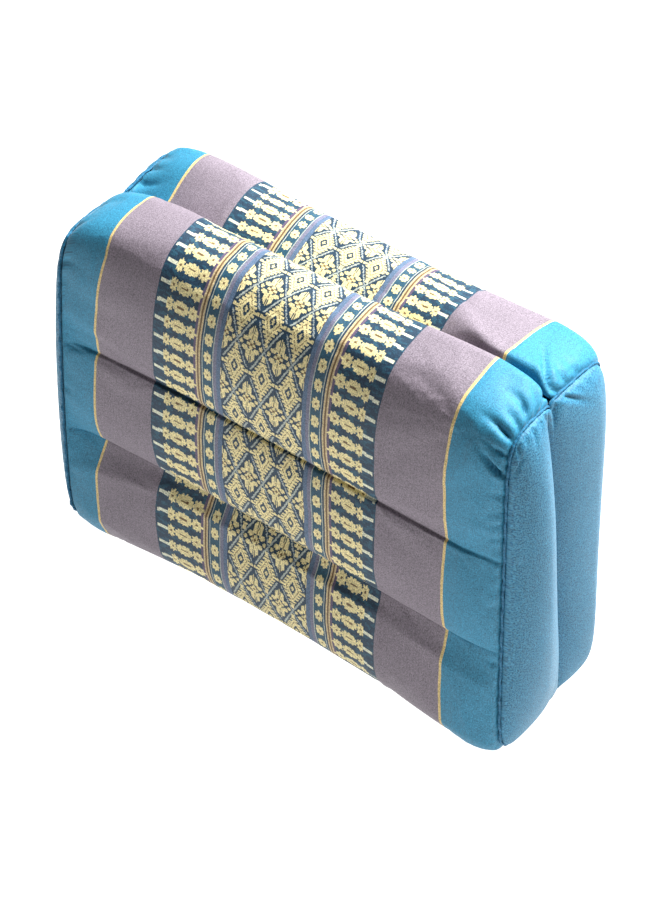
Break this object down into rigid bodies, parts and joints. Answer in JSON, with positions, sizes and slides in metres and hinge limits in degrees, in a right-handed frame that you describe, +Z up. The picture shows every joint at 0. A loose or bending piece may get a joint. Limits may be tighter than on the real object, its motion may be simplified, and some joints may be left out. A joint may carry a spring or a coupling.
{
  "type": "meditation cushion",
  "caption": "Firm block cushion of sewn channels in a striped and brocaded wrap with plain end panels, standing on a long narrow side.",
  "frame": {"origin": "on the floor, under the middle of the block's bounding box", "axes": "+X along the length to the right end, -Y out of the face with the two channel seams, +Z up through the narrow top"},
  "size_m": [0.3598, 0.1261, 0.2804],
  "materials": {
    "wrap_cloth": "woven cotton, matt with a slight sheen",
    "end_cloth": "woven cotton, matt with a slight sheen",
    "seam_cloth": "rolled woven cotton with stitches"
  },
  "bodies": {
    "root": {"cushion_body": "wrap_cloth", "end_panel_left": "end_cloth", "end_panel_right": "end_cloth", "edge_seam_left": "seam_cloth", "edge_seam_right": "seam_cloth"}
  },
  "joints": []
}
